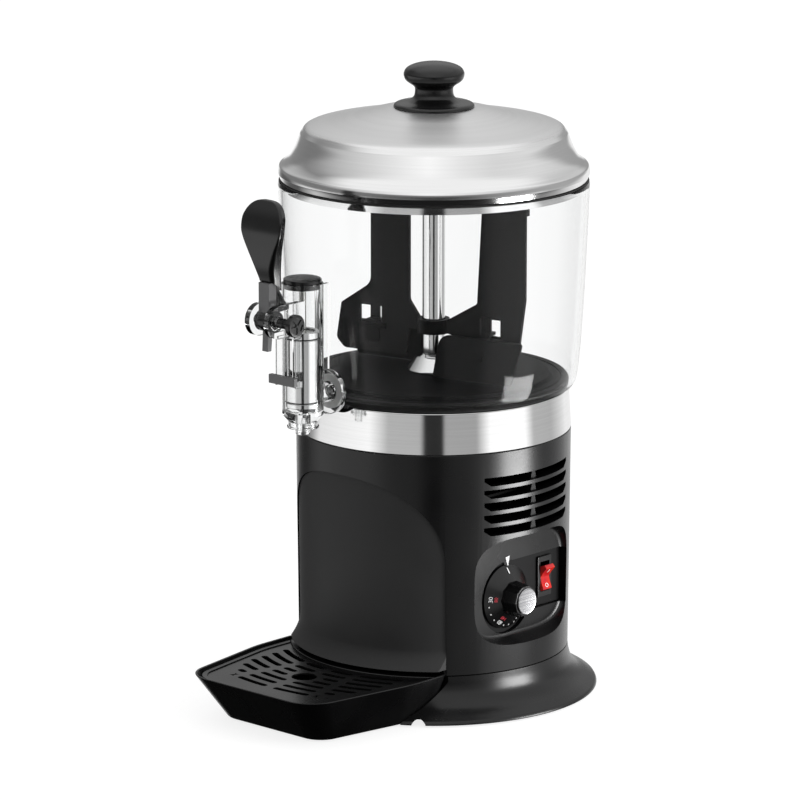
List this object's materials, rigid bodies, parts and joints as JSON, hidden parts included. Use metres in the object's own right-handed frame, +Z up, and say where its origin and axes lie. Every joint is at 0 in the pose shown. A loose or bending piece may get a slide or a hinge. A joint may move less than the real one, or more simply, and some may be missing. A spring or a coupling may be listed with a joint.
{
  "type": "hot chocolate dispenser",
  "caption": "Table-top hot chocolate dispenser: clear round bowl with a motor-driven stirrer and steel lid, lever tap, heated black base with dial and switch, and a slide-out drip tray.",
  "frame": {"origin": "centre of the bounding box's footprint on the table, at the underside of the feet", "axes": "+Z up, -Y towards the tap and drip tray, +X towards the side with the dial and switch"},
  "size_m": [0.262, 0.3448, 0.5026],
  "materials": {
    "black_moulding": "satin black moulded plastic",
    "black_gloss_trim": "smooth glossy black plastic",
    "black_rubber": "dull black rubber",
    "polished_steel": "mirror-polished stainless steel",
    "plated_steel": "bright zinc-plated steel",
    "clear_plastic": "clear polycarbonate",
    "coated_plate": "dark non-stick coating",
    "red_rocker": "translucent red plastic",
    "silver_cap": "spun aluminium foil disc",
    "grey_plastic": "dark grey moulded plastic",
    "brass": "turned brass",
    "cream_insulator": "cream insulating moulding"
  },
  "bodies": {
    "machine": {"base_ring": "black_moulding", "base_plate": "plated_steel", "rubber_foot_1": "black_rubber", "rubber_foot_2": "black_rubber", "rubber_foot_3": "black_rubber", "rubber_foot_4": "black_rubber", "base_screw_1": "plated_steel", "base_screw_2": "plated_steel", "base_screw_3": "plated_steel", "base_screw_4": "plated_steel", "housing": "black_moulding", "front_cover": "black_moulding", "control_panel": "black_moulding", "thermostat_body": "plated_steel", "switch_body": "black_gloss_trim", "steel_band": "polished_steel", "hotplate": "coated_plate", "column": "polished_steel", "column_nut": "brass", "heating_element": "plated_steel", "heat_shield": "plated_steel", "thermal_cutout": "cream_insulator", "upper_bush": "brass", "lower_bush": "brass", "motor_bracket": "plated_steel", "gearbox": "plated_steel", "motor": "black_moulding", "terminal_block": "cream_insulator", "cord_inlet": "black_rubber"},
    "tray": {"drip_tray": "black_moulding"},
    "grid": {"drip_grid": "black_moulding"},
    "bowl": {"bowl": "clear_plastic", "bowl_gasket": "black_rubber", "tap_barrel": "clear_plastic", "tap_gasket": "black_rubber", "tap_cap": "black_gloss_trim", "spring_guide": "plated_steel", "lever_pin": "black_gloss_trim", "tap_spring": "plated_steel"},
    "lid": {"lid": "polished_steel", "lid_ring": "polished_steel", "lid_seal": "black_rubber", "lid_knob": "black_gloss_trim", "knob_screw": "plated_steel"},
    "lever": {"lever_arm": "grey_plastic", "tap_handle": "black_gloss_trim"},
    "piston": {"tap_piston": "polished_steel", "lower_seal": "black_rubber", "upper_seal": "black_rubber", "piston_bar": "black_gloss_trim"},
    "shaft": {"drive_shaft": "polished_steel", "shaft_coupling": "plated_steel"},
    "stirrer": {"stirrer": "black_gloss_trim", "scraper_front": "black_gloss_trim", "scraper_rear": "black_gloss_trim"},
    "dial": {"dial_knob": "black_gloss_trim", "dial_cap": "silver_cap", "dial_spindle": "plated_steel"},
    "rocker": {"rocker": "red_rocker"}
  },
  "joints": [
    {"name": "tray_slide", "type": "slide", "parent": "machine", "child": "tray", "axis": [0, -1, 0], "range_m": [0, 0.17]},
    {"name": "grid_lift", "type": "slide", "parent": "tray", "child": "grid", "axis": [0, 0, 1], "range_m": [0, 0.06]},
    {"name": "bowl_lift", "type": "slide", "parent": "machine", "child": "bowl", "axis": [0, 0, 1], "range_m": [0, 0.045]},
    {"name": "lid_lift", "type": "slide", "parent": "bowl", "child": "lid", "axis": [0, 0, 1], "range_m": [0, 0.25]},
    {"name": "shaft_turn", "type": "hinge", "parent": "machine", "child": "shaft", "pos_m": [0, 0.0414, 0.19], "axis": [0, 0, 1], "continuous": true},
    {"name": "stirrer_lift", "type": "slide", "parent": "shaft", "child": "stirrer", "axis": [0, 0, 1], "range_m": [0, 0.03]},
    {"name": "tap_lever", "type": "hinge", "parent": "bowl", "child": "lever", "pos_m": [0, -0.1456, 0.3255], "axis": [1, 0, 0], "range_deg": [0, 34], "stiffness_Nm_per_rad": 0.35, "springref_deg": -17.19},
    {"name": "piston_slide", "type": "slide", "parent": "bowl", "child": "piston", "axis": [0, 0, 1], "range_m": [0, 0.0152], "deforming": ["tap_spring"]},
    {"name": "dial_turn", "type": "hinge", "parent": "machine", "child": "dial", "pos_m": [0.086, 0.0294, 0.089], "axis": [1, 0, 0], "range_deg": [0, 270]},
    {"name": "rocker_turn", "type": "hinge", "parent": "machine", "child": "rocker", "pos_m": [0.086, 0.0758, 0.0965], "axis": [0, -1, 0], "range_deg": [0, 20]}
  ],
  "couplings": [
    {"joint": "piston_slide", "follows": "tap_lever", "m_per_rad": 0.02562}
  ]
}
